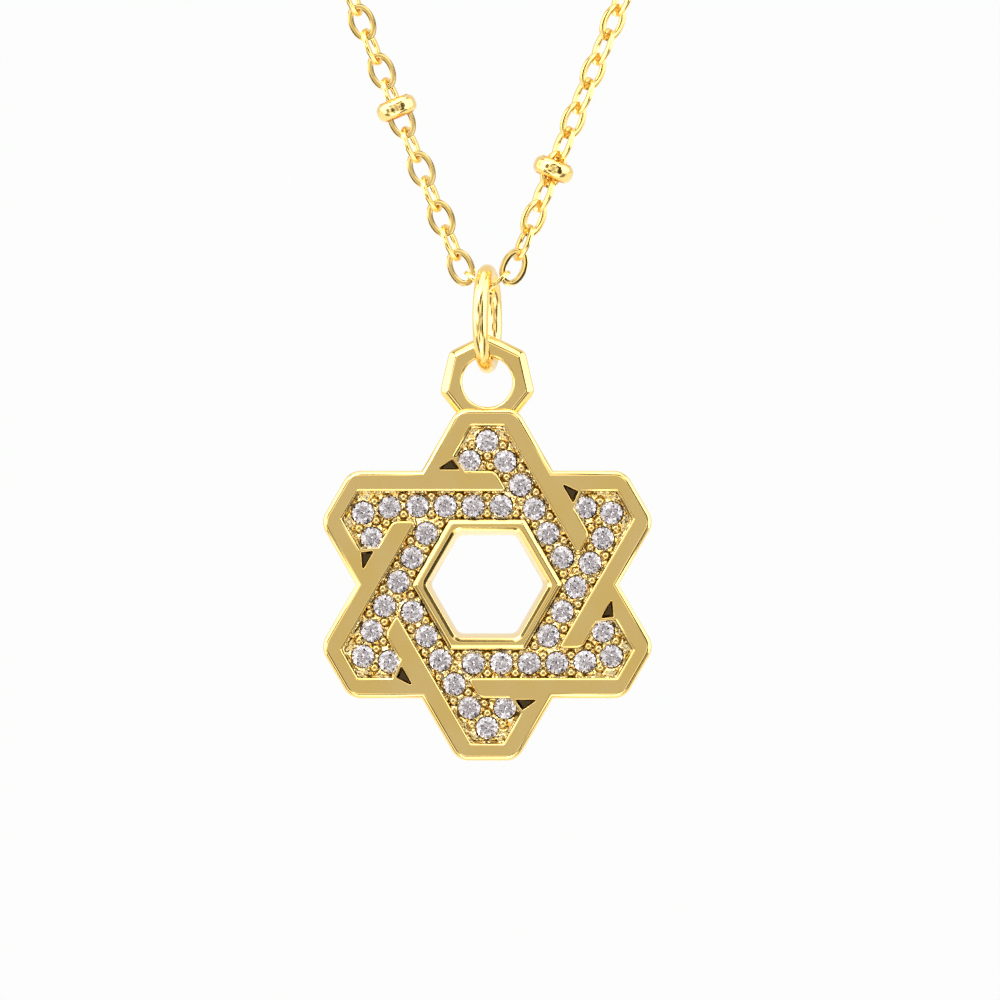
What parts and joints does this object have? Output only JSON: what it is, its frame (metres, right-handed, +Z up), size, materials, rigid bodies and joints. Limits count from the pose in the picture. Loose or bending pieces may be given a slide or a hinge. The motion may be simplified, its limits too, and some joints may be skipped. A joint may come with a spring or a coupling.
{
  "type": "star of david pendant on a chain",
  "caption": "Interlaced star of David pendant set with round clear stones, hung by an eye and a jump ring on a fine beaded cable chain that closes with a barrel clasp.",
  "frame": {"origin": "the middle of the clasp's barrel, where the chain rests on the nape of the neck", "axes": "+Z up with the wearer standing, the pendant hangs at the front and its stones face -Y, +X is to the right as seen from the front"},
  "size_m": [0.1036, 0.0916, 0.1647],
  "materials": {
    "gold": "polished gold plate over brass",
    "stone": "clear faceted cubic zirconia"
  },
  "bodies": {
    "chain": {"chain_front": "gold", "chain_back": "gold", "beads": "gold", "clasp": "gold"},
    "ring": {"jump_ring": "gold"},
    "pendant": {"star": "gold", "stone_01": "stone", "stone_02": "stone", "stone_03": "stone", "stone_04": "stone", "stone_05": "stone", "stone_06": "stone", "stone_07": "stone", "stone_08": "stone", "stone_09": "stone", "stone_10": "stone", "stone_11": "stone", "stone_12": "stone", "stone_13": "stone", "stone_14": "stone", "stone_15": "stone", "stone_16": "stone", "stone_17": "stone", "stone_18": "stone", "stone_19": "stone", "stone_20": "stone", "stone_21": "stone", "stone_22": "stone", "stone_23": "stone", "stone_24": "stone", "stone_25": "stone", "stone_26": "stone", "stone_27": "stone", "stone_28": "stone", "stone_29": "stone", "stone_30": "stone", "stone_31": "stone", "stone_32": "stone", "stone_33": "stone", "stone_34": "stone", "stone_35": "stone", "stone_36": "stone", "stone_37": "stone", "stone_38": "stone", "stone_39": "stone", "stone_40": "stone", "stone_41": "stone", "stone_42": "stone"}
  },
  "joints": [
    {"name": "ring_swing", "type": "hinge", "parent": "chain", "child": "ring", "pos_m": [0, -0.08749, -0.13774], "axis": [0.982, -0.1891, 0], "range_deg": [-40, 40]},
    {"name": "pendant_swing", "type": "hinge", "parent": "ring", "child": "pendant", "pos_m": [0, -0.08749, -0.14092], "axis": [0.1891, 0.982, 0], "range_deg": [-60, 60]}
  ]
}
